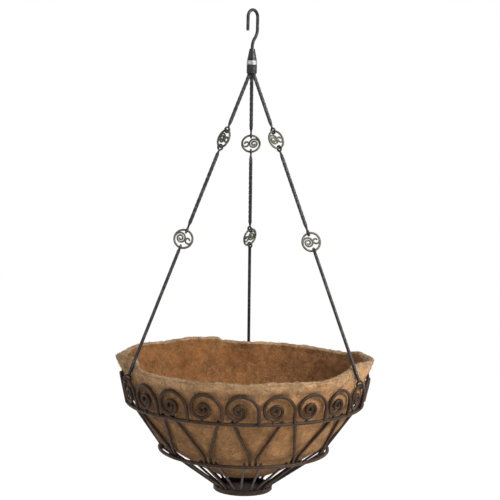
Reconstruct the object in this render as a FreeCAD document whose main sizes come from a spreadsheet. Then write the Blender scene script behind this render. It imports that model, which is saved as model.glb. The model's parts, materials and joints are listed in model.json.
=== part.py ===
"""Hanging basket: a scrollwork wire bowl with a coir liner, hung by three jointed rods from a swivel hook.

Units are millimetres. The origin is the hanging point, the inside of the hook's bend, and +Z is up.
Azimuths are measured about +Z from the front, -Y, towards +X, so a place is (R sin a, -R cos a).
Every height in the sheet is a drop below the hanging point.
"""
import FreeCAD, Part
import Sketcher
import math
import os

V = FreeCAD.Vector
Rotation = FreeCAD.Rotation
Placement = FreeCAD.Placement
X_AXIS, Y_AXIS, Z_AXIS = V(1, 0, 0), V(0, 1, 0), V(0, 0, 1)

doc = FreeCAD.newDocument("HangingBasket")
sheet = doc.addObject("Spreadsheet::Sheet", "Sizes")

DRIVING = [
    # the hook and its swivel
    ("hook_wire", 4.5),            # diameter of the hook's rod
    ("hook_bend", 10.0),           # centreline radius of the hook's bend
    ("hook_tip_leg", 17.0),        # straight part on the open side, below the bend's centre
    ("hook_back_leg", 16.0),       # straight part on the closed side
    ("hook_turn", 50.0),           # degrees the hook's plane is turned from X about Z
    ("shank_start", 49.0),         # where the rod is back on the axis
    ("cone_top", 51.0),
    ("cone_bottom", 67.5),
    ("cone_small", 3.7),           # outer radius at the top of the cone
    ("cone_large", 6.9),
    ("washer_bottom", 73.0),
    ("washer_outer", 7.3),
    ("collar_bottom", 85.0),
    ("collar_outer", 7.2),
    ("shank_bore", 2.7),           # radius of the holes that the shank turns in
    ("head_outer", 4.1),           # radius of the upset head that carries the load
    ("head_thick", 2.6),
    ("head_chamber", 4.7),         # radius of the room for the head in the collar
    ("chamber_deep", 4.6),
    ("running_gap", 0.3),          # clearance between pieces that move on each other
    # the rods and the medallions
    ("rod_wire", 2.8),             # diameter of the rods' eyes
    ("plain_wire", 4.6),           # diameter of the plain lower rods
    ("twist_wire", 5.4),           # diameter over the corners of the twisted upper and middle rods
    ("rod_ring", 3.9),             # radius of the circle that the rods stand on in the collar
    ("rod_socket", 5.0),           # length of rod inside the collar
    ("rod_bend_drop", 88.0),       # where a rod leans out from the vertical
    ("rod_bend", 14.0),            # centreline radius of that bend
    ("eye_bend", 3.6),             # centreline radius of a rod's closed eye
    ("claw_bend", 4.8),            # centreline radius of the open eye that holds the frame
    ("upper_medallion_at", 98.0),  # distances along a rod's line from its bend
    ("lower_medallion_at", 248.0),
    ("medallion_wire", 3.0),
    ("medallion_ring", 12.6),      # centreline radius of a medallion's ring
    ("swirl_wire", 2.6),
    ("swirl_reach", 12.0),         # the swirl starts just inside the ring's centreline
    # the frame
    ("mid_ring_drop", 545.5),
    ("mid_ring_radius", 167.0),
    ("low_ring_drop", 614.0),
    ("low_ring_radius", 119.5),
    ("ring_wire", 5.0),
    ("scroll_count", 22),
    ("scroll_wire", 4.5),
    ("scroll_lean", 12.5),         # degrees the scrolls lean outwards
    ("scroll_stem", 11.0),         # straight start of a scroll, above the mid ring
    ("scroll_start", 24.0),        # radius of a scroll's first quarter turn
    ("scroll_shrink", 0.77),       # each quarter turn's radius over the one before
    ("weld_gap", 0.05),            # play left where two wires are welded
    ("strut_count", 12),
    ("strut_wire", 4.0),
    ("strut_turn", 7.8),           # azimuth of the first pair of struts
    ("strut_spread", 11.8),        # degrees from a pair's middle to a strut's top
    ("strut_foot", 1.9),           # degrees from a pair's middle to a strut's foot
    ("strut_knee", 0.16),          # where a strut bends, as a part of its length from its foot
    ("strut_bend", 30.0),          # radius of that bend
    ("spoke_wire", 3.4),
    ("spoke_spread", 9.5),
    ("spoke_foot", 5.0),
    ("dish_bottom", 675.0),
    ("dish_radius", 42.0),
    ("dish_lip", 7.0),
    ("dish_sheet", 1.6),
    # the liner
    ("liner_rim_drop", 488.0),
    ("liner_rim_radius", 181.0),
    ("liner_shoulder_drop", 507.0),
    ("liner_shoulder_radius", 171.5),
    ("liner_waist_drop", 541.3),
    ("liner_waist_radius", 160.4),
    ("liner_hip_drop", 608.6),
    ("liner_hip_radius", 113.4),
    ("liner_floor_drop", 650.0),
    ("liner_floor_radius", 44.0),
    ("liner_thick", 8.0),
    ("notch_wide", 11.0),          # the slits in the rim that the rods pass through
    ("notch_drop", 520.0),
    ("notch_deep", 34.0),          # radial length of a slit
]
for row, (alias, value) in enumerate(DRIVING, start=1):
    sheet.set("A%d" % row, alias)
    sheet.set("B%d" % row, str(value))
    sheet.setAlias("B%d" % row, alias)
doc.recompute()


def size(alias):
    """The value of a driving dimension."""
    return float(sheet.get(alias))


def bind(item, **properties):
    """Tie properties of an object to formulas in the sheet's aliases, written with an @ before each."""
    for name, formula in properties.items():
        item.setExpression(name.replace("__", "."), formula.replace("@", "Sizes."))


def add(kind, name, **properties):
    """A primitive whose properties are tied to the sheet."""
    item = doc.addObject(kind, name)
    bind(item, **properties)
    return item


def fuse(label, pieces):
    """One solid from several."""
    joined = doc.addObject("Part::MultiFuse", label)
    joined.Shapes = pieces
    return joined


def cut(label, base, tool):
    """One solid less another."""
    result = doc.addObject("Part::Cut", label)
    result.Base = base
    result.Tool = tool
    return result


def group(label, pieces):
    """Separate solids, or one solid used again, under a name of their own."""
    item = doc.addObject("Part::Compound", label)
    item.Links = pieces
    return item


def plane_of(body, role):
    """A body's own origin plane."""
    return next(part for part in body.Origin.OriginFeatures if part.Role == role)


def quarter(centre, radius, start_deg):
    """A quarter circle, anticlockwise from start_deg."""
    start = math.radians(start_deg)
    return Part.ArcOfCircle(Part.Circle(centre, Z_AXIS, radius), start, start + math.pi / 2)


def bent_wire(name, edges, radius_formula):
    """A body of round wire along a flat path in the body's XZ plane."""
    body = doc.addObject("PartDesign::Body", name)
    path = body.newObject("Sketcher::SketchObject", name + "_path")
    path.AttachmentSupport = [(plane_of(body, "XZ_Plane"), "")]
    path.MapMode = "FlatFace"
    path.addGeometry(edges, False)
    section = body.newObject("Sketcher::SketchObject", name + "_section")
    section.AttachmentSupport = [(path, "Edge1")]
    section.MapMode = "NormalToEdge"
    section.MapPathParameter = 0.0
    section.addGeometry(Part.Circle(V(0, 0, 0), Z_AXIS, 1.0), False)
    section.addConstraint(Sketcher.Constraint("Coincident", 0, 3, -1, 1))
    section.addConstraint(Sketcher.Constraint("Radius", 0, 1.0))
    section.renameConstraint(1, "wire_radius")
    bind(section, Constraints__wire_radius=radius_formula)
    doc.recompute()
    pipe = body.newObject("PartDesign::AdditivePipe", name + "_pipe")
    pipe.Profile = section
    pipe.Spine = (path, ["Edge%d" % (number + 1) for number in range(len(edges))])
    doc.recompute()
    return body


def turned(name, outline):
    """A body of revolution about Z from an outline of (radius, height) points."""
    body = doc.addObject("PartDesign::Body", name)
    sketch = body.newObject("Sketcher::SketchObject", name + "_outline")
    sketch.AttachmentSupport = [(plane_of(body, "XZ_Plane"), "")]
    sketch.MapMode = "FlatFace"
    corners = [V(radius, height, 0) for radius, height in outline]
    for number, corner in enumerate(corners):
        sketch.addGeometry(Part.LineSegment(corner, corners[(number + 1) % len(corners)]), False)
    for number in range(len(corners)):
        following = (number + 1) % len(corners)
        sketch.addConstraint(Sketcher.Constraint("Coincident", number, 2, following, 1))
    doc.recompute()
    spin = body.newObject("PartDesign::Revolution", name + "_turn")
    spin.Profile = sketch
    spin.ReferenceAxis = (sketch, ["V_Axis"])
    spin.Angle = 360.0
    doc.recompute()
    return body


def about_z(degrees):
    return Rotation(Z_AXIS, degrees)


def ring_point(radius, azimuth, drop):
    """A point at an azimuth in degrees and a drop below the hanging point."""
    angle = math.radians(azimuth)
    return V(radius * math.sin(angle), -radius * math.cos(angle), -drop)


def make_hook():
    """The S-shaped hanging hook with the upset head that turns in the collar."""
    half_wire = size("hook_wire") / 2
    bend = size("hook_bend")
    centre_z = half_wire - bend
    tip = V(-bend, centre_z - size("hook_tip_leg"), 0)
    leg_end = V(bend, centre_z - size("hook_back_leg"), 0)
    shank = V(0, -size("shank_start"), 0)
    head_top = -size("washer_bottom") - size("running_gap")
    side, fall = bend / 2, (leg_end.y - shank.y) / 2
    sway = (side ** 2 + fall ** 2) / (2 * side)
    swing = math.asin(fall / sway)
    edges = [
        Part.LineSegment(tip, V(-bend, centre_z, 0)),
        quarter(V(0, centre_z, 0), bend, 90),
        quarter(V(0, centre_z, 0), bend, 0),
        Part.LineSegment(V(bend, centre_z, 0), leg_end),
        Part.ArcOfCircle(Part.Circle(V(bend - sway, leg_end.y, 0), Z_AXIS, sway), -swing, 0),
        Part.ArcOfCircle(Part.Circle(V(sway, shank.y, 0), Z_AXIS, sway), math.pi - swing, math.pi),
        Part.LineSegment(shank, V(0, head_top, 0)),
    ]
    rod = bent_wire("hook_rod", edges, "@hook_wire / 2")
    end_ball = add("Part::Sphere", "hook_tip", Radius="@hook_wire / 2")
    end_ball.Placement = Placement(V(tip.x, 0, tip.y), Rotation())
    head = add("Part::Cylinder", "hook_head", Radius="@head_outer", Height="@head_thick",
               Placement__Base__z="-(@washer_bottom + @running_gap + @head_thick)")
    hook = fuse("hook", [rod, end_ball, head])
    hook.Placement = Placement(V(0, 0, 0), about_z(size("hook_turn")))
    return hook


def make_swivel(rod_azimuths):
    """The cone, the bright washer and the collar that the three rods stand in."""
    cone_solid = add("Part::Cone", "cone_solid", Radius1="@cone_large", Radius2="@cone_small",
                     Height="@cone_bottom - @cone_top", Placement__Base__z="-@cone_bottom")
    cone_bore = add("Part::Cylinder", "cone_bore", Radius="@shank_bore",
                    Height="@cone_bottom - @cone_top", Placement__Base__z="-@cone_bottom")
    washer_solid = add("Part::Cylinder", "washer_solid", Radius="@washer_outer",
                       Height="@washer_bottom - @cone_bottom", Placement__Base__z="-@washer_bottom")
    washer_bore = add("Part::Cylinder", "washer_bore", Radius="@shank_bore",
                      Height="@washer_bottom - @cone_bottom", Placement__Base__z="-@washer_bottom")
    collar_solid = add("Part::Cylinder", "collar_solid", Radius="@collar_outer",
                       Height="@collar_bottom - @washer_bottom", Placement__Base__z="-@collar_bottom")
    chamber = add("Part::Cylinder", "collar_chamber", Radius="@head_chamber", Height="@chamber_deep",
                  Placement__Base__z="-(@washer_bottom + @chamber_deep)")
    hollows = [chamber]
    for side, azimuth in rod_azimuths.items():
        socket = add("Part::Cylinder", "socket_" + side, Radius="@twist_wire / 2", Height="@rod_socket")
        socket.Placement.Base = ring_point(size("rod_ring"), azimuth, size("collar_bottom"))
        hollows.append(socket)
    return [
        cut("swivel_cone", cone_solid, cone_bore),
        cut("swivel_washer", washer_solid, washer_bore),
        cut("swivel_collar", collar_solid, fuse("collar_hollows", hollows)),
    ]


def chain_angle():
    """Lean of a rod's line from the vertical, in degrees."""
    reach = size("mid_ring_radius") + scroll_height() * math.sin(math.radians(size("scroll_lean")))
    fall = scroll_top_drop() - size("rod_bend_drop")
    return math.degrees(math.atan2(reach - size("rod_ring"), fall))


def scroll_height():
    """Centre of a scroll's top wire above the mid ring, along the scroll's own plane."""
    return size("ring_wire") / 2 + size("scroll_wire") / 2 + size("weld_gap") \
        + size("scroll_stem") + size("scroll_start")


def scroll_top_drop():
    return size("mid_ring_drop") - scroll_height() * math.cos(math.radians(size("scroll_lean")))


def chain_length():
    """Length of a rod's line from its bend to the scroll wire that it holds."""
    return (scroll_top_drop() - size("rod_bend_drop")) / math.cos(math.radians(chain_angle()))


def on_chain(azimuth, distance, spin=0.0):
    """Placement on a rod's line: local Z up the line, local X along the rim, turned by spin about Z."""
    lean = about_z(azimuth) * Rotation(X_AXIS, -chain_angle())
    bend_point = ring_point(size("rod_ring"), azimuth, size("rod_bend_drop"))
    return Placement(bend_point - lean * V(0, 0, distance), lean * about_z(spin))


def make_eye(name, height, spin, bend="@eye_bend"):
    """A round eye on a rod: its plane holds the rod's line, and its hole faces local X before the spin."""
    eye = add("Part::Torus", name, Radius1=bend, Radius2="@rod_wire / 2")
    upright = Rotation(Y_AXIS, 90)
    eye.Placement = Placement(V(0, 0, height), about_z(spin) * upright)
    return eye


def make_top_rod(side, azimuth, upper_at, upper_spin):
    """A rod from its socket in the collar, out along its line, to the eye above the upper medallion."""
    lean = math.radians(chain_angle())
    bend = size("rod_bend")
    tangent = bend * math.tan(lean / 2)
    corner = V(size("rod_ring"), -size("rod_bend_drop"), 0)
    outward = V(math.sin(lean), -math.cos(lean), 0)
    top = V(corner.x, -size("collar_bottom") + size("rod_socket"), 0)
    stub_end = corner + V(0, tangent, 0)
    slope_start = corner + outward * tangent
    eye_at = upper_at - size("medallion_ring") - eye_offset()
    slope_end = corner + outward * (eye_at - size("eye_bend"))
    centre = stub_end + V(bend, 0, 0)
    edges = [
        Part.LineSegment(top, stub_end),
        Part.ArcOfCircle(Part.Circle(centre, Z_AXIS, bend), math.pi, math.pi + lean),
        Part.LineSegment(slope_start, slope_end),
    ]
    stock = bent_wire("top_rod_stock_" + side, edges, "@twist_wire / 2")
    # the stock lies in XZ with X outwards, so it is turned a quarter turn back to face the front
    stock.Placement = Placement(V(0, 0, 0), about_z(azimuth - 90))
    eye = make_eye("top_rod_eye_" + side, 0.0, 0.0)
    eye.Placement = on_chain(azimuth, eye_at, upper_spin) * Placement(V(0, 0, 0), Rotation(Y_AXIS, 90))
    return fuse("top_rod_" + side, [stock, eye])


def eye_offset():
    """From a medallion's ring wire to the centre of the eye that holds it."""
    return size("eye_bend") - size("rod_wire") / 2 - size("medallion_wire") / 2 - size("running_gap")


def claw_offset():
    """From a scroll's top wire to the centre of the open eye that holds it."""
    return size("claw_bend") - size("rod_wire") / 2 - size("scroll_wire") / 2 - size("running_gap")


def make_rod(label, azimuth, start, end, spins, stem_wire="twist_wire", end_bend="eye_bend"):
    """A straight rod between the centres of its two eyes, at distances start and end on its line."""
    middle = (start + end) / 2
    half = (end - start) / 2
    stem = add("Part::Cylinder", label + "_stem", Radius="@%s / 2" % stem_wire,
               Height="%r - @eye_bend - @%s" % (2 * half, end_bend))
    stem.Placement.Base = V(0, 0, -half + size(end_bend))
    upper = make_eye(label + "_upper_eye", half, spins[0])
    lower = make_eye(label + "_lower_eye", -half, spins[1], "@" + end_bend)
    rod = fuse(label, [stem, upper, lower])
    rod.Placement = on_chain(azimuth, middle)
    return rod


def curl(name, crossings):
    """A wire that winds inwards by half turns: over the top going right, and underneath going left."""
    turns = []
    for here, there in zip(crossings, crossings[1:]):
        centre = V((here + there) / 2, 0, 0)
        radius = abs(there - here) / 2
        turns += [quarter(centre, radius, start) for start in ((90, 0) if there > here else (270, 180))]
    return bent_wire(name, turns, "@swirl_wire / 2")


def make_medallion(label, azimuth, distance, spin):
    """A ring with a large and a small curl of wire inside it, in its own XZ plane."""
    reach = size("swirl_reach")
    hoop = add("Part::Torus", label + "_hoop", Radius1="@medallion_ring", Radius2="@medallion_wire / 2")
    hoop.Placement = Placement(V(0, 0, 0), Rotation(X_AXIS, 90))
    large = curl(label + "_large_curl", [at * reach for at in (-1.0, 0.17, -0.71, -0.10, -0.46)])
    small = curl(label + "_small_curl", [at * reach for at in (1.0, 0.275, 0.74)])
    medallion = fuse(label, [hoop, large, small])
    medallion.Placement = on_chain(azimuth, distance, spin)
    return medallion


def make_chain(side, azimuth, shift, upper_spin, lower_spin):
    """The three rods and two medallions on one side of the basket."""
    upper_at, lower_at = size("upper_medallion_at") + shift, size("lower_medallion_at") + shift
    reach = size("medallion_ring") + eye_offset()
    return [
        make_top_rod(side, azimuth, upper_at, upper_spin),
        make_medallion("upper_medallion_" + side, azimuth, upper_at, upper_spin),
        make_rod("middle_rod_" + side, azimuth, upper_at + reach, lower_at - reach,
                 (upper_spin, lower_spin)),
        make_medallion("lower_medallion_" + side, azimuth, lower_at, lower_spin),
        make_rod("lower_rod_" + side, azimuth, lower_at + reach, chain_length() - claw_offset(),
                 (lower_spin, 0.0), "plain_wire", "claw_bend"),
    ]


def make_scrolls():
    """The running scrolls: one wire shape, used all round the mid ring."""
    radius = size("scroll_start")
    point = V(radius, scroll_height() - radius - size("scroll_stem"), 0)
    edges = [Part.LineSegment(point, point + V(0, size("scroll_stem"), 0))]
    point = point + V(0, size("scroll_stem"), 0)
    heading = 0
    quarter_turns = 8
    for _ in range(quarter_turns):
        inward = V(-math.cos(math.radians(heading)), -math.sin(math.radians(heading)), 0)
        centre = point + inward * radius
        edges.append(quarter(centre, radius, heading))
        heading += 90
        point = centre + V(math.cos(math.radians(heading)), math.sin(math.radians(heading)), 0) * radius
        radius *= size("scroll_shrink")
    wire = bent_wire("scroll_wire_shape", edges, "@scroll_wire / 2")
    curl_end = add("Part::Sphere", "scroll_curl_end", Radius="@scroll_wire / 2")
    curl_end.Placement.Base = V(point.x, 0, point.y)
    pattern = fuse("scroll_pattern", [wire, curl_end])
    scrolls = []
    count = int(size("scroll_count"))
    for number in range(count):
        azimuth = number * 360.0 / count
        scroll = group("scroll_%02d" % (number + 1), [pattern])
        scroll.Placement = Placement(ring_point(size("mid_ring_radius"), azimuth, size("mid_ring_drop")),
                                     about_z(azimuth) * Rotation(X_AXIS, size("scroll_lean")))
        scrolls.append(scroll)
    return scrolls


def make_rings():
    """The two horizontal rings of the bowl."""
    mid = add("Part::Torus", "mid_ring", Radius1="@mid_ring_radius", Radius2="@ring_wire / 2",
              Placement__Base__z="-@mid_ring_drop")
    low = add("Part::Torus", "low_ring", Radius1="@low_ring_radius", Radius2="@ring_wire / 2",
              Placement__Base__z="-@low_ring_drop")
    return [mid, low]


def swept_rod(name, corners, bend, diameter):
    """Round wire along straight runs joined by arcs, tangent to both."""
    edges = []
    start = corners[0]
    for before, corner, after in zip(corners, corners[1:], corners[2:]):
        back = (before - corner).normalize()
        ahead = (after - corner).normalize()
        tangent = bend / math.tan(back.getAngle(ahead) / 2)
        bisector = (back + ahead).normalize()
        centre = corner + bisector * (bend / math.sin(back.getAngle(ahead) / 2))
        arc_start, arc_end = corner + back * tangent, corner + ahead * tangent
        edges += [Part.LineSegment(start, arc_start).toShape(),
                  Part.Arc(arc_start, centre - bisector * bend, arc_end).toShape()]
        start = arc_end
    edges.append(Part.LineSegment(start, corners[-1]).toShape())
    spine = Part.Wire(edges)
    section = Part.Wire(Part.Circle(corners[0], (corners[1] - corners[0]).normalize(), diameter / 2).toShape())
    rod = doc.addObject("Part::Feature", name)
    rod.Shape = spine.makePipeShell([section], True, False)
    return rod


def make_struts():
    """Pairs of struts inside the mid and the low ring, each pair meeting like the legs of a V."""
    wire = size("strut_wire")
    mid = V(size("mid_ring_radius"), -size("mid_ring_drop"), 0)
    low = V(size("low_ring_radius"), -size("low_ring_drop"), 0)
    slope = (mid - low).normalize()
    inward = V(-slope.y, slope.x, 0) * ((size("ring_wire") + wire) / 2 + size("weld_gap"))
    head, foot = mid + inward, low + inward - slope * (wire / 2)
    knee = foot + slope * (size("strut_knee") * (head - foot).Length)
    pairs = []
    count = int(size("strut_count"))
    for number in range(count):
        middle = size("strut_turn") + number * 360.0 / count
        legs = []
        for hand, way in (("left", -1), ("right", 1)):
            stations = [(foot, size("strut_foot")), (knee, size("strut_foot")),
                        (head, size("strut_spread"))]
            corners = [ring_point(station.x, middle + way * spread, -station.y)
                       for station, spread in stations]
            legs.append(swept_rod("strut_%02d_%s" % (number + 1, hand), corners,
                                  size("strut_bend"), wire))
        pairs.append(group("strut_pair_%02d" % (number + 1), legs))
    return pairs


def make_spokes():
    """The spokes under the bowl, from inside the low ring down onto the dish's lip."""
    wire = size("spoke_wire")
    low = V(size("low_ring_radius"), -size("low_ring_drop"), 0)
    lip = V(size("dish_radius") - size("dish_sheet"), -size("dish_bottom") + size("dish_lip"), 0)
    slope = (low - lip).normalize()
    inward = V(-slope.y, slope.x, 0)
    overrun = slope * (wire / 2)
    head = low + inward * ((size("ring_wire") + wire) / 2 + size("weld_gap")) + overrun
    foot = lip + inward * (wire / 2 + size("weld_gap")) - overrun
    spokes = []
    count = int(size("strut_count"))
    for number in range(count):
        middle = size("strut_turn") + (number + 0.5) * 360.0 / count
        for hand, way in (("left", -1), ("right", 1)):
            top = ring_point(head.x, middle + way * size("spoke_spread"), -head.y)
            end = ring_point(foot.x, middle + way * size("spoke_foot"), -foot.y)
            spoke = add("Part::Cylinder", "spoke_%02d_%s" % (number + 1, hand), Radius="@spoke_wire / 2")
            spoke.Height = (top - end).Length
            spoke.Placement = Placement(end, Rotation(Z_AXIS, top - end))
            spokes.append(spoke)
    return group("base_spokes", spokes)


def make_dish():
    """The pressed dish that closes the frame at the bottom."""
    radius, sheet_thick = size("dish_radius"), size("dish_sheet")
    bottom = -size("dish_bottom")
    lip = bottom + size("dish_lip")
    outline = [(0, bottom), (radius - sheet_thick, bottom), (radius, bottom + sheet_thick), (radius, lip),
               (radius - sheet_thick, lip), (radius - sheet_thick, bottom + 2 * sheet_thick),
               (radius - 2 * sheet_thick, bottom + sheet_thick), (0, bottom + sheet_thick)]
    return turned("base_dish", outline)


def make_liner(rod_azimuths):
    """The moulded coir bowl, with a slit in its rim for each rod."""
    names = ["floor", "hip", "waist", "shoulder", "rim"]
    outer = [(size("liner_%s_radius" % name), -size("liner_%s_drop" % name)) for name in names]
    thick = size("liner_thick")
    inner = [(outer[0][0] - 0.3 * thick, outer[0][1] + thick)]
    inner += [(radius - thick, height + 0.5 * thick) for radius, height in outer[1:-1]]
    inner.append((outer[-1][0] - thick, outer[-1][1]))
    floor = [(0, inner[0][1]), (0, outer[0][1])]
    bowl = turned("liner_bowl", outer + inner[::-1] + floor)
    slits = []
    for side, azimuth in rod_azimuths.items():
        slit = add("Part::Box", "liner_slit_" + side, Width="@notch_deep", Length="@notch_wide",
                   Height="@notch_drop - @liner_rim_drop + 10")
        corner = V(-size("notch_wide") / 2, 0, 0)
        start = ring_point(size("liner_rim_radius") + 5, azimuth, size("notch_drop"))
        slit.Placement = Placement(start + about_z(azimuth) * corner, about_z(azimuth))
        slits.append(slit)
    return cut("liner", bowl, fuse("liner_slits", slits))


# Each rod holds the top of one scroll: four scrolls either side of the front one, and the one opposite.
PITCH = 360.0 / size("scroll_count")
ROD_AZIMUTHS = {"left": -4 * PITCH, "right": 4 * PITCH, "back": 11 * PITCH}
# How far each side's upper and lower medallion is turned about its rod's line, in degrees.
MEDALLION_SPINS = {"left": (12.0, 62.0), "right": (-22.0, -50.0), "back": (4.0, 50.0)}
# How far each side's medallions sit below their common distances from the rod's bend.
CHAIN_SHIFTS = {"left": -3.0, "right": -3.0, "back": 5.5}

nodes = [make_hook()] + make_swivel(ROD_AZIMUTHS)
for side, azimuth in ROD_AZIMUTHS.items():
    nodes += make_chain(side, azimuth, CHAIN_SHIFTS[side], *MEDALLION_SPINS[side])
nodes += make_rings() + make_scrolls() + make_struts()
nodes += [make_spokes(), make_dish(), make_liner(ROD_AZIMUTHS)]
doc.recompute()

for item in doc.Objects:
    if {"Invalid", "Error"} & set(item.State):
        raise RuntimeError("%s failed: %s" % (item.Name, item.State))
for node in nodes:
    if node.Shape.isNull() or not node.Shape.isValid():
        raise RuntimeError("%s has no valid shape" % node.Label)

os.makedirs("parts", exist_ok=True)
for node in nodes:
    node.Shape.exportStep("parts/%s.step" % node.Label)
print("%d nodes, rods lean %.2f degrees over %.1f mm" % (len(nodes), chain_angle(), chain_length()))
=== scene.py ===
"""Looks of the hanging basket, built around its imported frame.

Everything is in metres in the frame of the part: the origin is the hanging point, the inside of the
hook's bend, +Z is up and the front is -Y. Azimuths run about +Z from the front towards +X, so a place
is (R sin a, -R cos a).
"""

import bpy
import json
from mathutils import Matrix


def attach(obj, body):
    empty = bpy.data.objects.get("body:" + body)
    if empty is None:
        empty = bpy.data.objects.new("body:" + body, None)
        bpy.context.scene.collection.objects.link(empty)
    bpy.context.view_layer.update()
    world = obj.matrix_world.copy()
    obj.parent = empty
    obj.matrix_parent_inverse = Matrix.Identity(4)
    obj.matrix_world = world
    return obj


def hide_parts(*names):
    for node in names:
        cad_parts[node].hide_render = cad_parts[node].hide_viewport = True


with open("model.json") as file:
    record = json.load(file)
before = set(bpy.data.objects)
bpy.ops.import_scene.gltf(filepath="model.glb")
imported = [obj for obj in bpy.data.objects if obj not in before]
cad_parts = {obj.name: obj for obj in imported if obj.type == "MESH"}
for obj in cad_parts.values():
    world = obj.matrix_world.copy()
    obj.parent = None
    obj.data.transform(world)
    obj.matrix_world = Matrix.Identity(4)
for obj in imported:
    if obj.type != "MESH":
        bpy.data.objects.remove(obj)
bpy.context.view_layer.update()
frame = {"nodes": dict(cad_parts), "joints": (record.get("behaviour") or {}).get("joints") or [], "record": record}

import json
import math
import random

import bmesh
import bpy
import numpy as np
from mathutils import Matrix, Vector, noise

MM = 0.001
# the camera, as the photograph was taken
CAMERA_AZIMUTH = 1.5
CAMERA_DISTANCE = 2.03
CAMERA_HEIGHT = -0.131
AIM_HEIGHT = -0.3318
AIM_ASIDE = 0.0031
CAMERA_ROLL = 1.27
LENS = 104.4
# the soft lights, as name, place, side and power, the point they face, and the floor
LIGHTS = (("key", (1.9, -1.2, 1.0), 0.8, 120.0), ("fill", (-1.6, -1.4, 0.5), 1.4, 8.0))
LIGHT_AIM = (0.0, 0.0, -0.45)
FLOOR_HEIGHT, FLOOR_REACH = -2.1, 14.0
# the rods' lines, as in the frame
PITCH = 360.0 / 22
ROD_AZIMUTHS = {"left": -4 * PITCH, "right": 4 * PITCH, "back": 11 * PITCH}
MEDALLION_SPINS = {"left": (12.0, 62.0), "right": (-22.0, -50.0), "back": (4.0, 50.0)}
CHAIN_SHIFTS = {"left": -3 * MM, "right": -3 * MM, "back": 5.5 * MM}
ROD_RING, ROD_START_DROP, ROD_BEND_DROP, ROD_BEND = 3.9 * MM, 80.5 * MM, 88 * MM, 14 * MM
UPPER_MEDALLION, LOWER_MEDALLION = 98 * MM, 248 * MM
MEDALLION_RING, EYE_OFFSET, EYE_BEND, EYE_WIRE = 12.6 * MM, 0.4 * MM, 3.6 * MM, 1.4 * MM
# the bowl's rings, scrolls, struts and spokes
MID_RING, LOW_RING = (167.0 * MM, -545.5 * MM), (119.5 * MM, -614.0 * MM)
SCROLL_COUNT, SCROLL_START, SCROLL_LEAN = 22, 24 * MM, math.radians(12.5)
STRUT_COUNT, STRUT_TURN, STRUT_SPREAD, STRUT_FOOT, STRUT_KNEE = 12, 7.8, 11.8, 1.9, 0.16
STRUT_STEP = 360.0 / STRUT_COUNT
SPOKE_SPREAD, SPOKE_FOOT = 9.5, 5.0
# how far the rods lean out, from the places of the medallions on one of them
PIVOTS = {joint["name"]: Vector(joint["pos_m"]) for joint in frame["joints"]}
ROD_LINE = PIVOTS["upper_medallion_left_spin"] - PIVOTS["lower_medallion_left_spin"]
LEAN = ROD_LINE.angle(Vector((0, 0, 1)))


def link(obj):
    bpy.context.scene.collection.objects.link(obj)
    return obj


def smoothstep(low, high, value):
    """0 below low, 1 above high and smooth between them, for numbers and arrays."""
    t = np.clip((value - low) / (high - low), 0.0, 1.0)
    return t * t * (3.0 - 2.0 * t)


# ---------------------------------------------------------------------------------------- studio

def make_camera():
    """A camera at the viewing angle of the photograph."""
    data = bpy.data.cameras.new("camera")
    data.lens, data.sensor_width = LENS, 36.0
    data.clip_start, data.clip_end = 0.05, 60.0
    camera = link(bpy.data.objects.new("camera", data))
    azimuth = math.radians(CAMERA_AZIMUTH)
    aside = Vector((math.cos(azimuth), math.sin(azimuth), 0.0))
    place = Vector((math.sin(azimuth), -math.cos(azimuth), 0.0)) * CAMERA_DISTANCE
    place.z = CAMERA_HEIGHT
    aim = Vector((0.0, 0.0, AIM_HEIGHT)) + aside * AIM_ASIDE
    turn = (aim - place).to_track_quat("-Z", "Y").to_matrix().to_4x4()
    roll = Matrix.Rotation(math.radians(CAMERA_ROLL), 4, "Z")
    camera.matrix_world = Matrix.Translation(place) @ turn @ roll
    bpy.context.scene.camera = camera


def make_lights():
    """A white room with a large soft key from the right and a weaker fill from the left."""
    scene = bpy.context.scene
    scene.view_settings.view_transform = "Standard"
    world = bpy.data.worlds.new("studio")
    scene.world = world
    world.use_nodes = True
    background = world.node_tree.nodes["Background"]
    background.inputs["Color"].default_value = (1.0, 1.0, 1.0, 1.0)
    background.inputs["Strength"].default_value = 1.0
    for name, place, side, power in LIGHTS:
        data = bpy.data.lights.new(name, "AREA")
        data.size, data.energy = side, power
        light = link(bpy.data.objects.new(name, data))
        light.location = place
        light.rotation_mode = "QUATERNION"
        light.rotation_quaternion = (Vector(LIGHT_AIM) - Vector(place)).to_track_quat("-Z", "Y")


def make_floor():
    """A plain pale floor well below the basket."""
    far = FLOOR_REACH
    mesh = bpy.data.meshes.new("floor")
    mesh.from_pydata([(-far, -far, 0), (far, -far, 0), (far, far, 0), (-far, far, 0)], [], [(0, 1, 2, 3)])
    floor = link(bpy.data.objects.new("floor", mesh))
    floor.location.z = FLOOR_HEIGHT
    material = bpy.data.materials.new("floor")
    material.use_nodes = True
    shader = material.node_tree.nodes["Principled BSDF"]
    shader.inputs["Base Color"].default_value = (1.0, 1.0, 0.995, 1.0)
    shader.inputs["Roughness"].default_value = 0.9
    mesh.materials.append(material)


# ------------------------------------------------------------------------------------- materials

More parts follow.
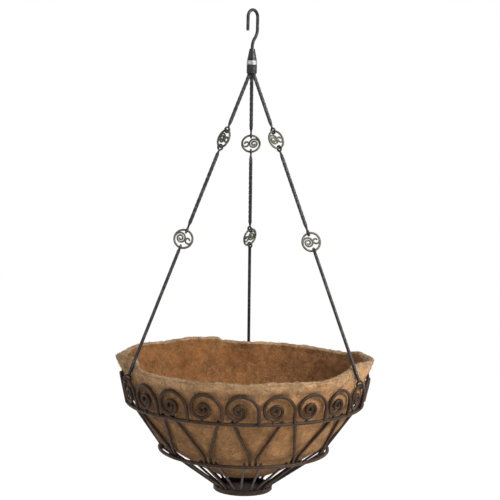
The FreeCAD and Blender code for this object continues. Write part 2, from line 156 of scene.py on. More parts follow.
class Surface:
    """A material's node tree with short ways to add what the finishes here are made of."""

    def __init__(self, name, roughness=0.6, metallic=0.0):
        self.material = bpy.data.materials.new(name)
        self.material.use_nodes = True
        self.tree = self.material.node_tree
        self.shader = self.tree.nodes["Principled BSDF"]
        self.shader.inputs["Roughness"].default_value = roughness
        self.shader.inputs["Metallic"].default_value = metallic
        self.place = self.add("ShaderNodeTexCoord").outputs["Object"]

    def add(self, kind, inputs=None, **settings):
        node = self.tree.nodes.new(kind)
        for key, value in settings.items():
            setattr(node, key, value)
        for key, value in (inputs or {}).items():
            if isinstance(value, bpy.types.NodeSocket):
                self.tree.links.new(value, node.inputs[key])
            else:
                node.inputs[key].default_value = value
        return node

    def noise(self, scale, detail=2.0, roughness=0.5, distortion=0.0, place=None):
        return self.add("ShaderNodeTexNoise", {
            "Vector": place or self.place, "Scale": scale, "Detail": detail,
            "Roughness": roughness, "Distortion": distortion}).outputs["Fac"]

    def spread(self, value, low, high, to_low=0.0, to_high=1.0):
        """value mapped from low..high to to_low..to_high, clamped."""
        return self.add("ShaderNodeMapRange", {
            0: value, 1: low, 2: high, 3: to_low, 4: to_high}).outputs[0]

    def math(self, operation, *values):
        return self.add("ShaderNodeMath", dict(enumerate(values)), operation=operation).outputs[0]

    def mix(self, amount, first, second, blend="MIX"):
        node = self.add("ShaderNodeMix", {0: amount}, data_type="RGBA", blend_type=blend)
        for index, colour in ((6, first), (7, second)):
            if isinstance(colour, bpy.types.NodeSocket):
                self.tree.links.new(colour, node.inputs[index])
            else:
                node.inputs[index].default_value = (*colour, 1.0)
        return node.outputs[2]

    def threads(self, scale, width, distortion, shift):
        """Thin curling lines, 1 on a thread and 0 away from it."""
        moved = self.add("ShaderNodeVectorMath", {0: self.place, 1: (shift, shift * 1.7, shift * 2.3)},
                         operation="ADD").outputs[0]
        curls = self.noise(scale, 1.0, 0.4, distortion, moved)
        off = self.math("ABSOLUTE", self.math("SUBTRACT", curls, 0.5))
        return self.spread(off, 0.0, width, 1.0, 0.0)

    def bump(self, height, distance, under=None):
        inputs = {"Height": height, "Distance": distance, "Strength": 1.0}
        if under is not None:
            inputs["Normal"] = under
        return self.add("ShaderNodeBump", inputs).outputs["Normal"]

    def join(self, value, name):
        self.tree.links.new(value, self.shader.inputs[name])


# Heights between which the coir's painted shade changes over its foot and its wall, between which its rim
# is painted paler as light, and between which its painted side shade fades at the rim.
FOOT_BAND, WALL_BAND = (-0.648, -0.600), (-0.600, -0.510)
RIM_LIGHT_BAND, SIDE_SHADE_RIM_BAND = (-0.520, -0.497), (-0.508, -0.492)


def coir(name, warm, dull, pale, thread_amount, painted_shade=(1.0, 1.0), painted_side_shade=None, way=1.0, painted_rim_light=0.0):
    """Pressed coconut fibre: patches of two browns, mottling and a tangle of pale threads.

    The pair after the thread amount is painted shade: how bright it is at the liner's foot and rim. The next
    argument is a third brown painted as shade towards +X, or towards -X where way is -1, and the last is how
    far the rim is painted paler, as painted light.
    """
    s = Surface(name, roughness=0.95)
    split = s.add("ShaderNodeSeparateXYZ", {0: s.place})
    aside, height = split.outputs[0], split.outputs[2]
    # large patches of colour
    patch = s.spread(s.noise(11.0, 3.0, 0.6, 0.6), 0.38, 0.62)
    base = s.mix(patch, warm, dull)
    # painted shade: a third brown towards the side away from the light, weaker near the rim
    if painted_side_shade is not None:
        aside = s.math("MULTIPLY", aside, way)
        drift = s.math("MULTIPLY_ADD", s.noise(9.0, 3.0, 0.6), 0.22, aside)
        kept = s.spread(height, *SIDE_SHADE_RIM_BAND, 0.88, 0.45)
        base = s.mix(s.math("MULTIPLY", s.spread(drift, 0.08, 0.24), kept), base, painted_side_shade)
    # painted light: the rim mixed towards the pale colour, where light falls on it
    if painted_rim_light:
        base = s.mix(s.spread(height, *RIM_LIGHT_BAND, 0.0, painted_rim_light), base, pale)
    # mottling, and painted shade: darker at the foot and brighter towards the rim
    foot = s.spread(height, *FOOT_BAND, painted_shade[0], 1.0)
    painted_shading = s.math("MULTIPLY", foot, s.spread(height, *WALL_BAND, 1.0, painted_shade[1]))
    mottle = s.math("MULTIPLY", s.spread(s.noise(60.0, 4.0, 0.65), 0.3, 0.7, 0.60, 1.28), painted_shading)
    grey = s.add("ShaderNodeCombineColor", {0: mottle, 1: mottle, 2: mottle}).outputs[0]
    base = s.mix(1.0, base, grey, "MULTIPLY")
    # pale threads of three sizes, in clumps
    coarse = s.threads(95.0, 0.035, 1.2, 0.0)
    middle = s.threads(170.0, 0.05, 0.8, 3.1)
    fine = s.threads(310.0, 0.08, 0.5, 7.7)
    tangle = s.math("MAXIMUM", s.math("MAXIMUM", coarse, middle), s.math("MULTIPLY", fine, 0.7))
    clumps = s.spread(s.noise(24.0), 0.35, 0.65, 0.3 * thread_amount, thread_amount)
    strength = s.math("MULTIPLY", s.math("MULTIPLY", tangle, clumps), painted_shading)
    base = s.mix(strength, base, pale)
    # painted shade: dark pits between the threads
    pit_shade = s.spread(s.noise(420.0, 2.0, 0.6), 0.52, 0.72)
    base = s.mix(s.math("MULTIPLY", pit_shade, 0.5), base, tuple(0.35 * c for c in dull))
    s.join(base, "Base Color")
    # relief of lumps, threads and grain
    lumps = s.bump(s.noise(130.0, 3.0, 0.6), 1.2 * MM)
    relief = s.math("ADD", tangle, s.math("MULTIPLY", s.noise(700.0, 2.0), 0.6))
    s.join(s.bump(relief, 0.6 * MM, lumps), "Normal")
    s.shader.inputs["Specular IOR Level"].default_value = 0.08
    return s.material


def enamel(name, dark, light, worn, worn_amount, gloss, metallic=0.25):
    """Old enamel over steel: cloudy colour, paler worn flecks, uneven gloss and a slight orange peel."""
    s = Surface(name, metallic=metallic)
    clouds = s.spread(s.noise(70.0, 4.0, 0.6), 0.35, 0.68)
    base = s.mix(clouds, dark, light)
    wear = s.math("MULTIPLY", s.spread(s.noise(260.0, 5.0, 0.7, 0.4), 0.53, 0.66), worn_amount)
    base = s.mix(wear, base, worn)
    s.join(base, "Base Color")
    s.join(s.spread(s.noise(190.0, 3.0), 0.3, 0.7, gloss[0], gloss[1]), "Roughness")
    peel = s.bump(s.noise(900.0, 3.0, 0.6), 0.25 * MM)
    s.join(s.bump(s.noise(110.0, 2.0), 0.7 * MM, peel), "Normal")
    s.shader.inputs["Specular IOR Level"].default_value = 0.2
    s.shader.inputs["Coat Weight"].default_value = 0.03
    s.shader.inputs["Coat Roughness"].default_value = 0.3
    return s.material


def bright_zinc():
    """Zinc plate with turning marks round the axis and a few dull spots."""
    s = Surface("bright_zinc", metallic=0.85)
    height = s.add("ShaderNodeSeparateXYZ", {0: s.place}).outputs[2]
    rings = s.add("ShaderNodeCombineXYZ", {2: s.math("MULTIPLY", height, 3500.0)}).outputs[0]
    turning = s.noise(1.0, 2.0, 0.5, 0.0, rings)
    dull = s.spread(s.noise(320.0, 3.0, 0.6), 0.45, 0.65)
    s.join(s.mix(dull, (0.34, 0.34, 0.35), (0.16, 0.16, 0.155)), "Base Color")
    s.join(s.spread(turning, 0.3, 0.7, 0.22, 0.5), "Roughness")
    s.join(s.bump(turning, 0.2 * MM), "Normal")
    return s.material


# ----------------------------------------------------------------------------------------- liner

# The liner's outer profile as (radius, height) in mm, and the thickness of its felt.
LINER_PROFILE = [(4.0, -650.0), (30.0, -650.0), (44.0, -649.5), (113.4, -608.6), (160.4, -541.3),
                 (171.0, -508.0), (177.5, -500.5), (181.0, -491.5)]
LINER_THICK = 8 * MM
# Points round the liner, along its outer or inner face, and over its lip.
AROUND, ALONG, LIP = 476, 100, 9
IS_INNER = np.arange(2 * ALONG + LIP) >= ALONG + LIP // 2
# How high the rounded lip stands, as a share of the thickness, and the way in through the felt at the rim.
LIP_RISE, RIM_INWARD = 0.42, (-1.0, 0.1)
# The liner's radius at the middle of its floor, where a fan of faces closes it.
FLOOR_HOLE = 3 * MM
# Heights between which the way in turns level, and between which the rim's wave fades in.
LEVEL_BAND, RIM_BAND = (-0.512, -0.494), (-0.522, -0.490)
# How much higher or lower the rim is than drawn, in mm, by azimuth in degrees.
RIM_WAVE = [(-180, -0.6), (-174, -2.6), (-166.5, -0.5), (-164.5, 4.6), (-150, 5.8), (-134, 3.2),
            (-116, 6.0), (-102, 3.4), (-88, 4.0), (-76, 10.0), (-69, 9.0), (-65, 0.0), (-45, 0.0),
            (-30, -1.0), (-18, -1.7), (-10, 0.5), (0, -1.7), (8, -2.0), (24, 0.5), (34, -0.6), (42, 1.0),
            (53, 5.0), (60, 3.6), (65, 1.0), (69, 8.0), (78, 9.0), (90, 7.0), (104, 4.2), (113, 3.5),
            (118, 0.8), (124, -3.6), (134, -4.3), (156, -3.6), (170, -2.8), (180, -0.6)]
# How far round the rim a fold behind a rod reaches, in degrees: clockwise and anticlockwise from above.
FOLD_REACH = {"left": (11.0, 15.0), "right": (15.0, 11.0), "back": (9.0, 9.0)}
# From a rod's line to the coir behind it, the rod's reach at its claw, and how sharply a fold narrows.
FOLD_GAP, CLAW_RADIUS, FOLD_SHAPE = 3.4 * MM, 171 * MM, 1.15
# How far the coir bulges between struts, how far round a strut holds it back, and where the bulge starts
# and ends, as shares of the way up from the low to the mid ring.
STRUT_BULGE, STRUT_HOLD, STRUT_BULGE_START, STRUT_BULGE_END = 3.4 * MM, 8 * MM, (-0.15, 0.12), (0.8, 1.0)
# The bulge over the low ring, its height, its width and the heights between which it starts.
LOW_BULGE, LOW_BULGE_HEIGHT = 4.0 * MM, -0.599
LOW_BULGE_WIDTH, LOW_BULGE_START = 10 * MM, (-0.611, -0.604)
# The bulge behind the scrolls, and the heights between which it starts and ends.
SCROLL_BULGE, SCROLL_BULGE_START, SCROLL_BULGE_END = 3.2 * MM, (-0.545, -0.530), (-0.522, -0.509)
# From a scroll's plane to the coir (half its wire and a space), and the flare that is free above it.
SCROLL_CLEAR, FREE_FLARE, FREE_BAND = 2.9 * MM, 12 * MM, (-0.5045, -0.4990)
# How far the rim flares out at the -X side, with the azimuth and half width of that in degrees.
SIDE_FLARE, SIDE_AZIMUTH, SIDE_WIDTH = 2.5 * MM, -90.0, 14.0
# The overlap in the inner wall: its step, the azimuths where it starts and fades, and its lower end.
SEAM_STEP, SEAM_START = 3.5 * MM, (-167.0, -165.6)
SEAM_FADE, SEAM_FOOT = (-158.0, -120.0), (-0.60, -0.56)
# Azimuths each side where the paler edge, painted light on the lit strip by the rim, begins and ends, its
# width in rows of faces, and its share of that: the mean, how much it varies and how fast.
LIT_EDGE_START, LIT_EDGE_END, LIT_EDGE_ROWS = (64.0, 78.0), (92.0, 112.0), 4.0
LIT_EDGE_MEAN, LIT_EDGE_SWING, LIT_EDGE_RATE = 0.8, 0.9, 1.1
# Slow waves, lumps and tufts of the felt, to a metre, and how far they reach on the inner and outer face.
WAVES, LUMPS, TUFTS = 14.0, 90.0, 330.0
WAVE_REACH, LUMP_REACH, TUFT_REACH = (2.2 * MM, -1.6 * MM), (1.3 * MM, 0.55 * MM), 0.35 * MM


def liner_outline():
    """The outer profile with its corners rounded and its points evenly spaced."""
    points = np.array(LINER_PROFILE) * MM
    for _ in range(3):
        cut = [points[0]]
        for here, there in zip(points, points[1:]):
            cut += [0.75 * here + 0.25 * there, 0.25 * here + 0.75 * there]
        points = np.array(cut + [points[-1]])
    lengths = np.concatenate([[0.0], np.cumsum(np.linalg.norm(np.diff(points, axis=0), axis=1))])
    at = np.linspace(0.0, lengths[-1], ALONG)
    return np.stack([np.interp(at, lengths, points[:, k]) for k in (0, 1)], axis=1)


def liner_section(outline):
    """The whole section: up the outer face, over the rounded lip and down the inner face."""
    along = np.gradient(outline, axis=0)
    along /= np.linalg.norm(along, axis=1)[:, None]
    inward = np.stack([-along[:, 1], along[:, 0]], axis=1)
    level = smoothstep(*LEVEL_BAND, outline[:, 1])[:, None]
    inward = inward * (1.0 - level) + np.array(RIM_INWARD) * level
    inside = outline + inward * LINER_THICK
    inside[:, 0] = np.maximum(inside[:, 0], FLOOR_HOLE)
    middle = outline[-1] + inward[-1] * LINER_THICK / 2
    turn = np.radians(np.linspace(0, 180, LIP + 2)[1:-1])
    cap = np.array([middle - inward[-1] * math.cos(t) * LINER_THICK / 2
                    + along[-1] * math.sin(t) * LINER_THICK * LIP_RISE for t in turn])
    return np.concatenate([outline, cap, inside[::-1]])


def angle_from(azimuths, centre):
    """Signed difference in degrees, between -180 and 180."""
    return (azimuths - centre + 180.0) % 360.0 - 180.0


def strut_distance(azimuths, share):
    """Distance in degrees to the nearest strut at a share of the way up from the low to the mid ring."""
    up = np.clip((share - STRUT_KNEE) / (1 - STRUT_KNEE), 0, 1)
    spread = STRUT_FOOT + (STRUT_SPREAD - STRUT_FOOT) * up
    from_pair = np.abs((azimuths - STRUT_TURN + STRUT_STEP / 2) % STRUT_STEP - STRUT_STEP / 2)
    return np.abs(from_pair - spread)


def liner_places(outline, azimuths):
    """The liner's points by azimuth and along its section, folded and bulged but smooth."""
    section = liner_section(outline)
    a = azimuths[:, None]
    radius = np.repeat(section[None, :, 0], AROUND, axis=0)
    height = np.repeat(section[None, :, 1], AROUND, axis=0)
    near_rim = smoothstep(*RIM_BAND, height)
    drawn = np.interp(height, outline[:, 1], outline[:, 0])
    height = height + np.interp(azimuths, *zip(*RIM_WAVE))[:, None] * MM * near_rim
    rod_radius = np.minimum(ROD_RING + (-height - ROD_BEND_DROP) * math.tan(LEAN), CLAW_RADIUS)
    depth = np.maximum(drawn - rod_radius + FOLD_GAP, 0.0)
    for side, centre in ROD_AZIMUTHS.items():
        off = angle_from(a, centre)
        reach = np.where(off < 0, FOLD_REACH[side][0], FOLD_REACH[side][1])
        shape = np.maximum(1.0 - (np.sqrt(off ** 2 + 1.0) - 1.0) / reach, 0.0)
        radius -= depth * shape ** FOLD_SHAPE

    share = (height - LOW_RING[1]) / (MID_RING[1] - LOW_RING[1])
    between = 1.0 - np.exp(-(np.radians(strut_distance(a, share)) * radius / STRUT_HOLD) ** 2)
    in_band = smoothstep(*STRUT_BULGE_START, share) * (1.0 - smoothstep(*STRUT_BULGE_END, share))
    radius += STRUT_BULGE * between * in_band * ~IS_INNER
    by_low_ring = np.exp(-((height - LOW_BULGE_HEIGHT) / LOW_BULGE_WIDTH) ** 2)
    by_low_ring *= smoothstep(*LOW_BULGE_START, height)
    radius += LOW_BULGE * between * by_low_ring * ~IS_INNER
    radius += SIDE_FLARE * near_rim * np.exp(-(angle_from(a, SIDE_AZIMUTH) / SIDE_WIDTH) ** 2)
    behind_scrolls = smoothstep(*SCROLL_BULGE_START, height)
    behind_scrolls *= 1.0 - smoothstep(*SCROLL_BULGE_END, height)
    radius += SCROLL_BULGE * behind_scrolls * ~IS_INNER
    seam = smoothstep(*SEAM_START, a) * (1.0 - smoothstep(*SEAM_FADE, a))
    radius -= SEAM_STEP * seam * IS_INNER * smoothstep(*SEAM_FOOT, height)

    ring = np.radians(azimuths)[:, None]
    return np.stack([radius * np.sin(ring), -radius * np.cos(ring), height], axis=-1)


def roughen(places):
    """The liner's points with the felt's waves, lumps and tufts, and the normals there."""
    flat = places.reshape(-1, 3)
    shape = places.shape[:2]
    wave = np.array([noise.noise(Vector(p) * WAVES) for p in flat]).reshape(shape)
    lump = np.array([noise.fractal(Vector(p) * LUMPS, 1.0, 2.0, 3) for p in flat]).reshape(shape)
    tuft = np.array([noise.noise(Vector(p) * TUFTS) for p in flat]).reshape(shape)
    tangent_v = np.gradient(places, axis=1)
    tangent_u = np.roll(places, -1, axis=0) - np.roll(places, 1, axis=0)
    normal = np.cross(tangent_u, tangent_v)
    normal /= np.linalg.norm(normal, axis=-1)[..., None]
    sag = np.where(IS_INNER, WAVE_REACH[0] * wave, WAVE_REACH[1] * np.abs(wave))
    shift = lump * np.where(IS_INNER, *LUMP_REACH) + tuft * TUFT_REACH + sag
    return places + normal * shift[..., None], normal


def keep_inside_scrolls(places):
    """Hold the outer face inside the scrolls, and leave it free to flare above them."""
    across = np.linalg.norm(places[..., :2], axis=-1)
    scroll_face = MID_RING[0] + (places[..., 2] - MID_RING[1]) * math.tan(SCROLL_LEAN) - SCROLL_CLEAR
    scroll_face += FREE_FLARE * smoothstep(*FREE_BAND, places[..., 2])
    places[..., :2] *= np.where(IS_INNER, 1.0, np.minimum(1.0, scroll_face / across))[..., None]


def lit_edge_rows(azimuths):
    """How many rows of faces beside the lip take the paler edge finish at each azimuth, as painted light."""
    off_front = np.abs(azimuths)
    at_sides = smoothstep(*LIT_EDGE_START, off_front) * (1.0 - smoothstep(*LIT_EDGE_END, off_front))
    ragged = np.array([LIT_EDGE_MEAN + LIT_EDGE_SWING * noise.noise(Vector((azimuth * LIT_EDGE_RATE, 3.0, 0.0)))
                       for azimuth in azimuths])
    return np.rint(LIT_EDGE_ROWS * at_sides * ragged).astype(int)


def make_liner(outer_finish, inner_finish, edge_finish):
    """The coir bowl: a thick felted shell that bulges between the wires and folds in behind the rods."""
    azimuths = np.linspace(-180.0, 180.0, AROUND, endpoint=False)
    places, normal = roughen(liner_places(liner_outline(), azimuths))
    keep_inside_scrolls(places)
    lit_edge = lit_edge_rows(azimuths)
    count = places.shape[1]
    verts = [tuple(p) for p in places.reshape(-1, 3)]
    faces, slots = [], []
    for i in range(AROUND):
        j = (i + 1) % AROUND
        for k in range(count - 1):
            faces.append((i * count + k, j * count + k, j * count + k + 1, i * count + k + 1))
            # painted light: the paler edge finish widened onto the lit strip by the rim at the sides
            in_lip = ALONG - 1 - lit_edge[i] // 2 <= k < ALONG + LIP + lit_edge[i]
            slots.append(2 if in_lip else int(IS_INNER[k]))
    low = len(verts)
    verts += [(0.0, 0.0, float(places[:, 0, 2].mean())), (0.0, 0.0, float(places[:, -1, 2].mean()))]
    for i in range(AROUND):
        j = (i + 1) % AROUND
        faces += [(low, j * count, i * count), (low + 1, i * count + count - 1, j * count + count - 1)]
        slots += [0, 1]
    mesh = bpy.data.meshes.new("coir_liner")
    mesh.from_pydata(verts, [], faces)
    for finish in (outer_finish, inner_finish, edge_finish):
        mesh.materials.append(finish)
    mesh.polygons.foreach_set("material_index", slots)
    mesh.polygons.foreach_set("use_smooth", [True] * len(faces))
    mesh.update()
    liner = link(bpy.data.objects.new("coir_liner", mesh))
    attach(liner, "basket")
    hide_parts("liner")
    return liner, places, normal


# The fibres, with how many of them lie along the rim and the share of the others on the outer face.
FIBRE_COUNT, RIM_FIBRES, OUTER_FIBRES, FIBRE_SEED = 1500, 900, 0.6, 41
# Rows of the liner with rim fibres each side of the lip, and rows without fibres at either foot.
RIM_ROWS, OUTER_FOOT_ROWS, INNER_FOOT_ROWS = 6, 30, 40
# Points along a fibre, and the corners of its section in radians.
FIBRE_POINTS, FIBRE_CORNERS = 6, (0.0, 2.094, 4.189)
# The most a fibre steps and bends, round the liner and along its section, in the liner's own points.
FIBRE_STEP, FIBRE_BEND = (2.2, 1.6), (0.35, 0.3)
# How far a fibre's ends lift off and how thick it is, in mm, and how far its middle lies off the felt.
FIBRE_LIFT, FIBRE_RADIUS, FIBRE_OFF = (0.3, 2.2), (0.12, 0.22), 0.1 * MM


def fibre_path(places, normal, place, step, bend, lift):
    """Points of a fibre that lies on the liner in its middle and lifts off at both ends."""
    around, count = places.shape[:2]
    (u, v), (step_u, step_v), path = place, step, []
    for stage in range(FIBRE_POINTS):
        at = int(round(u)) % around, min(max(int(round(v)), 0), count - 1)
        rise = lift * (2.0 * stage / (FIBRE_POINTS - 1) - 1.0) ** 2 + FIBRE_OFF
        path.append(Vector(places[at]) + Vector(normal[at]) * rise)
        u, v = u + step_u, v + step_v
        step_u, step_v = step_u + bend[0], step_v + bend[1]
    return path


def add_fibre(path, thick, verts, faces):
    """A thin strand along a path, tapered at its ends."""
    base, last, sides = len(verts), len(path) - 1, len(FIBRE_CORNERS)
    for stage, point in enumerate(path):
        ahead = path[min(stage + 1, last)] - path[max(stage - 1, 0)]
        if ahead.length < 1e-7:
            ahead = Vector((0, 0, 1))
        turn = ahead.to_track_quat("Z", "Y")
        wide = thick * (1.0 if 0 < stage < last else 0.5)
        verts += [tuple(point + turn @ Vector((wide * math.cos(t), wide * math.sin(t), 0.0)))
                  for t in FIBRE_CORNERS]
    for stage in range(last):
        for corner in range(sides):
            low = base + sides * stage
            high = low + sides
            after = (corner + 1) % sides
            faces.append((low + corner, low + after, high + after, high + corner))
    end = base + sides * last
    faces += [(base + 2, base + 1, base), (end, end + 1, end + 2)]


def make_fibres(places, normal, finish):
    """Loose fibres that lie along the liner's rim and walls and lift off at their ends."""
    chance = random.Random(FIBRE_SEED)
    around, count = places.shape[:2]
    verts, faces = [], []
    for number in range(FIBRE_COUNT):
        i = chance.randrange(around)
        if number < RIM_FIBRES:
            k = ALONG + chance.randrange(-RIM_ROWS, LIP + RIM_ROWS)
        elif chance.random() < OUTER_FIBRES:
            k = chance.randrange(OUTER_FOOT_ROWS, ALONG)
        else:
            k = chance.randrange(ALONG + LIP, count - INNER_FOOT_ROWS)
        step = [chance.uniform(-most, most) for most in FIBRE_STEP]
        bend = [chance.uniform(-most, most) for most in FIBRE_BEND]
        lift, thick = chance.uniform(*FIBRE_LIFT) * MM, chance.uniform(*FIBRE_RADIUS) * MM
        path = fibre_path(places, normal, (float(i), float(k)), step, bend, lift)
        add_fibre(path, thick, verts, faces)
    mesh = bpy.data.meshes.new("coir_fibres")
    mesh.from_pydata(verts, [], faces)
    mesh.materials.append(finish)
    fibres = link(bpy.data.objects.new("coir_fibres", mesh))
    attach(fibres, "basket")
    return fibres


# ------------------------------------------------------------------------------------------ rods

def chain_matrix(azimuth, distance, spin=0.0):
    """Local Z runs up a rod's line and local X along the rim, turned by spin about Z."""
    angle = math.radians(azimuth)
    bend = Vector((ROD_RING * math.sin(angle), -ROD_RING * math.cos(angle), -ROD_BEND_DROP))
    lean = Matrix.Rotation(angle, 4, "Z") @ Matrix.Rotation(-LEAN, 4, "X")
    return (Matrix.Translation(bend) @ lean @ Matrix.Translation((0, 0, -distance))
            @ Matrix.Rotation(math.radians(spin), 4, "Z"))


# Where a rod's stem ends beyond its eye's circle, and how far the eye's wire goes round.
STEM_GAP, EYE_FROM, EYE_TO, EYE_STEPS = 2.6 * MM, 28, 338, 30
# The twisted bar: its half width over the corners, one turn's length, the sides of its section and how
# flat those are, and the angle from which its edges are sharp.
BAR_HALF, TWIST_PITCH, BAR_SIDES, BAR_BEVEL, BAR_FULL, BAR_EDGE = 2.7 * MM, 31 * MM, 12, 0.30, 1.18, 38
# Points apart along a stem, and points over which it turns from square bar to round wire.
STEM_STEP, TAPER_POINTS = 1.3 * MM, 4


def eye_path(centre_matrix, from_above):
    """Points round a bent eye, starting where its rod comes in, in the plane of local Y and Z."""
    way = 1.0 if from_above else -1.0
    points = [(0.0, EYE_BEND + 2.2 * MM), (0.5 * MM, EYE_BEND + 0.9 * MM)]
    points += [(EYE_BEND * math.sin(t), EYE_BEND * math.cos(t))
               for t in np.radians(np.linspace(EYE_FROM, EYE_TO, EYE_STEPS))]
    return [centre_matrix @ Vector((0.0, side, up * way)) for side, up in points]


def bar_reach(angle, square):
    """From the middle of a bar to its surface, where square is 1 for square bar and 0 for round wire."""
    fold = abs((angle % (math.pi / 2)) - math.pi / 4)
    flat = BAR_HALF * math.cos(math.pi / 4) / max(math.cos(math.pi / 4 - fold), BAR_BEVEL)
    return square * min(flat * BAR_FULL, BAR_HALF) + (1.0 - square) * EYE_WIRE


def bar_mesh(name, path, square, finish):
    """A twisted bar along a path, with how square it is at each point."""
    path = [Vector(p) for p in path]
    verts, run = [], 0.0
    side = Vector((1.0, 0.1, 0.0))
    for number, point in enumerate(path):
        ahead = (path[min(number + 1, len(path) - 1)] - path[max(number - 1, 0)]).normalized()
        side = (side - ahead * side.dot(ahead)).normalized()
        other = ahead.cross(side)
        if number:
            run += (point - path[number - 1]).length
        twist = 2.0 * math.pi * run / TWIST_PITCH
        for corner in range(BAR_SIDES):
            angle = 2.0 * math.pi * corner / BAR_SIDES
            direction = side * math.cos(angle + twist) + other * math.sin(angle + twist)
            verts.append(tuple(point + direction * bar_reach(angle, square[number])))
    faces = []
    for number in range(len(path) - 1):
        low, high = number * BAR_SIDES, (number + 1) * BAR_SIDES
        for corner in range(BAR_SIDES):
            after = (corner + 1) % BAR_SIDES
            faces.append((low + corner, low + after, high + after, high + corner))
    faces.append(tuple(range(BAR_SIDES))[::-1])
    faces.append(tuple((len(path) - 1) * BAR_SIDES + corner for corner in range(BAR_SIDES)))
    mesh = bpy.data.meshes.new(name)
    mesh.from_pydata(verts, [], faces)
    mesh.materials.append(finish)
    mesh.polygons.foreach_set("use_smooth", [True] * len(faces))
    mesh.set_sharp_from_angle(angle=math.radians(BAR_EDGE))
    return link(bpy.data.objects.new(name, mesh))


def straight(start, end):
    """Points from start to end."""
    number = max(2, int((end - start).length / STEM_STEP))
    return [start.lerp(end, k / number) for k in range(number + 1)]


def make_top_rod(side, azimuth, spin, finish):
    """A rod from the collar, bent outwards onto its line, with the upper medallion's eye at its end."""
    angle = math.radians(azimuth)
    outward = Vector((math.sin(angle), -math.cos(angle), 0.0))
    upright = outward * ROD_RING
    tangent = ROD_BEND * math.tan(LEAN / 2)
    bend_start = upright + Vector((0, 0, -ROD_BEND_DROP)) + Vector((0, 0, tangent))
    points = straight(upright + Vector((0, 0, -ROD_START_DROP)), bend_start)
    for k in range(1, 5):
        t = LEAN * k / 4
        points.append(bend_start + outward * (ROD_BEND * (1 - math.cos(t)))
                      + Vector((0, 0, -ROD_BEND * math.sin(t))))
    eye_at = UPPER_MEDALLION + CHAIN_SHIFTS[side] - MEDALLION_RING - EYE_OFFSET
    eye = chain_matrix(azimuth, eye_at, spin)
    points += straight(points[-1], eye @ Vector((0, 0, EYE_BEND + STEM_GAP)))[1:]
    square = [1.0] * len(points)
    for k in range(TAPER_POINTS):
        square[-1 - k] = k / TAPER_POINTS
    loop = eye_path(eye, True)
    bar = bar_mesh("twisted_top_rod_" + side, points + loop, square + [0.0] * len(loop), finish)
    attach(bar, "basket")
    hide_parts("top_rod_" + side)


def make_middle_rod(side, azimuth, spins, finish):
    """A rod between two medallions, with an eye at each end."""
    reach = MEDALLION_RING + EYE_OFFSET
    upper = chain_matrix(azimuth, UPPER_MEDALLION + CHAIN_SHIFTS[side] + reach, spins[0])
    lower = chain_matrix(azimuth, LOWER_MEDALLION + CHAIN_SHIFTS[side] - reach, spins[1])
    start = upper @ Vector((0, 0, -EYE_BEND - STEM_GAP))
    end = lower @ Vector((0, 0, EYE_BEND + STEM_GAP))
    first = eye_path(upper, False)[::-1]
    stem, last = straight(start, end), eye_path(lower, True)
    square = [1.0] * len(stem)
    for k in range(TAPER_POINTS):
        square[k] = square[-1 - k] = k / TAPER_POINTS
    bar = bar_mesh("twisted_middle_rod_" + side, first + stem + last,
                   [0.0] * len(first) + square + [0.0] * len(last), finish)
    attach(bar, "basket")
    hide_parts("middle_rod_" + side)


# ----------------------------------------------------------------------------------------- welds

# Radius of a bead on a scroll, a strut, a spoke's top and a spoke's foot.
SCROLL_BEAD, STRUT_BEAD, SPOKE_BEAD, FOOT_BEAD = 2.6 * MM, 2.5 * MM, 2.4 * MM, 1.9 * MM
# How much a bead swells and how fast that varies, to a metre, and its height over its width.
BEAD_SWELL, BEAD_LUMPS, BEAD_FLAT = 0.35, 500.0, 0.75
# From a ring's wire out and up to the beads on it.
SCROLL_WELD, STRUT_WELD, SPOKE_WELD = (0.5 * MM, 2.9 * MM), (-2.1 * MM, 1.0 * MM), (-1.6 * MM, 1.8 * MM)
# Along the mid ring from a scroll's middle to the weld of its curl.
CURL_WELD = -4.5 * MM
# Radius and height of the spokes' welds on the dish.
DISH_WELD = (40.8 * MM, -667.7 * MM)


def at_azimuth(radius, azimuth, height):
    """A place at an azimuth in degrees."""
    angle = math.radians(azimuth)
    return Vector((radius * math.sin(angle), -radius * math.cos(angle), height))


def beside(ring, offset, azimuth):
    """A place at an azimuth, beside a ring's wire."""
    return at_azimuth(ring[0] + offset[0], azimuth, ring[1] + offset[1])


def weld_places():
    """Where the beads are, with their sizes: two to a scroll, two to a strut and two to a spoke."""
    beads = []
    for number in range(SCROLL_COUNT):
        azimuth = number * PITCH
        along = Vector((math.cos(math.radians(azimuth)), math.sin(math.radians(azimuth)), 0.0))
        place = beside(MID_RING, SCROLL_WELD, azimuth)
        beads += [(place + along * shift, SCROLL_BEAD) for shift in (SCROLL_START, CURL_WELD)]
    for number in range(STRUT_COUNT):
        middle = STRUT_TURN + number * STRUT_STEP
        for way in (-1, 1):
            beads.append((beside(MID_RING, STRUT_WELD, middle + way * STRUT_SPREAD), STRUT_BEAD))
            beads.append((beside(LOW_RING, STRUT_WELD, middle + way * STRUT_FOOT), STRUT_BEAD))
            spoke = middle + STRUT_STEP / 2
            beads.append((beside(LOW_RING, SPOKE_WELD, spoke + way * SPOKE_SPREAD), SPOKE_BEAD))
            beads.append((at_azimuth(DISH_WELD[0], spoke + way * SPOKE_FOOT, DISH_WELD[1]), FOOT_BEAD))
    return beads


def make_welds(finish):
    """Small uneven beads where the frame's wires are welded."""
    shape = bmesh.new()
    for number, (place, size) in enumerate(weld_places()):
        made = bmesh.ops.create_icosphere(shape, subdivisions=2, radius=size)
        for vert in made["verts"]:
            swell = 1.0 + BEAD_SWELL * noise.noise(vert.co * BEAD_LUMPS + Vector((number, 0, 0)))
            vert.co = place + Vector((vert.co.x * swell, vert.co.y * swell, vert.co.z * swell * BEAD_FLAT))
    mesh = bpy.data.meshes.new("weld_beads")
    shape.to_mesh(mesh)
    shape.free()
    mesh.materials.append(finish)
    mesh.polygons.foreach_set("use_smooth", [True] * len(mesh.polygons))
    welds = link(bpy.data.objects.new("weld_beads", mesh))
    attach(welds, "basket")


# ------------------------------------------------------------------------------------------ build

make_camera()
make_lights()
make_floor()

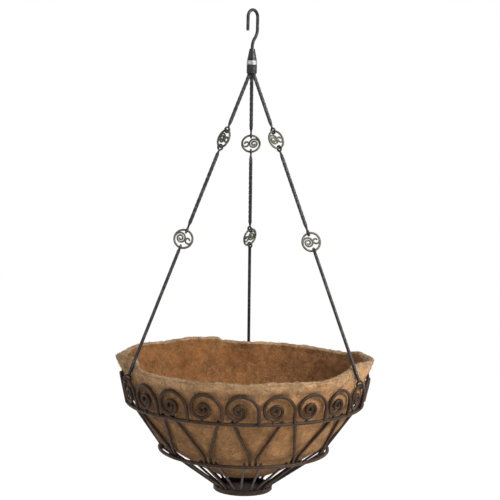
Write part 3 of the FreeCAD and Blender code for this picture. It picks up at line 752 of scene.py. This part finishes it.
# The finish of each material slot that CAD nodes keep: dark, light and worn colour, and how it shines.
FINISHES = {
    "dark_steel": enamel("dark_steel", (0.007, 0.007, 0.008), (0.024, 0.024, 0.025), (0.09, 0.09, 0.09),
                         worn_amount=0.35, gloss=(0.3, 0.5)),
    "bright_zinc": bright_zinc(),
    "rod_steel": enamel("rod_steel", (0.010, 0.010, 0.010), (0.030, 0.030, 0.030), (0.13, 0.13, 0.125),
                        worn_amount=0.5, gloss=(0.35, 0.6), metallic=0.2),
    "aged_medallion": enamel("aged_medallion", (0.030, 0.030, 0.020), (0.085, 0.085, 0.060),
                             (0.26, 0.26, 0.21), worn_amount=0.6, gloss=(0.35, 0.6), metallic=0.2),
    "frame_steel": enamel("frame_steel", (0.012, 0.005, 0.002), (0.032, 0.015, 0.005),
                          (0.080, 0.045, 0.024), worn_amount=0.45, gloss=(0.45, 0.7), metallic=0.05),
}
# Coir finishes: the outer one has painted shade at its foot and towards -X and painted light at its rim; the inner
# one has painted shade at its foot and towards +X.
COIR_OUTER = coir("coir_outer", (0.245, 0.120, 0.046), (0.185, 0.093, 0.039), (0.36, 0.22, 0.115), 0.5,
                  painted_shade=(0.45, 1.15), painted_side_shade=(0.058, 0.025, 0.008), way=-1.0, painted_rim_light=0.62)
COIR_INNER = coir("coir_inner", (0.165, 0.068, 0.022), (0.125, 0.052, 0.019), (0.26, 0.140, 0.06), 0.45,
                  painted_shade=(0.9, 1.0), painted_side_shade=(0.150, 0.066, 0.028))
COIR_EDGE = coir("coir_edge", (0.25, 0.155, 0.080), (0.21, 0.138, 0.075), (0.38, 0.27, 0.165), 0.6)

for part in frame["record"]["subparts"]:
    finish = FINISHES.get(part["material_slot"])
    if finish is not None:
        node = frame["nodes"][part["node"]]
        node.data.materials.clear()
        node.data.materials.append(finish)

liner, places, normal = make_liner(COIR_OUTER, COIR_INNER, COIR_EDGE)
fibres = make_fibres(places, normal, COIR_EDGE)
for side, azimuth in ROD_AZIMUTHS.items():
    make_top_rod(side, azimuth, MEDALLION_SPINS[side][0], FINISHES["rod_steel"])
    make_middle_rod(side, azimuth, MEDALLION_SPINS[side], FINISHES["rod_steel"])
make_welds(FINISHES["frame_steel"])
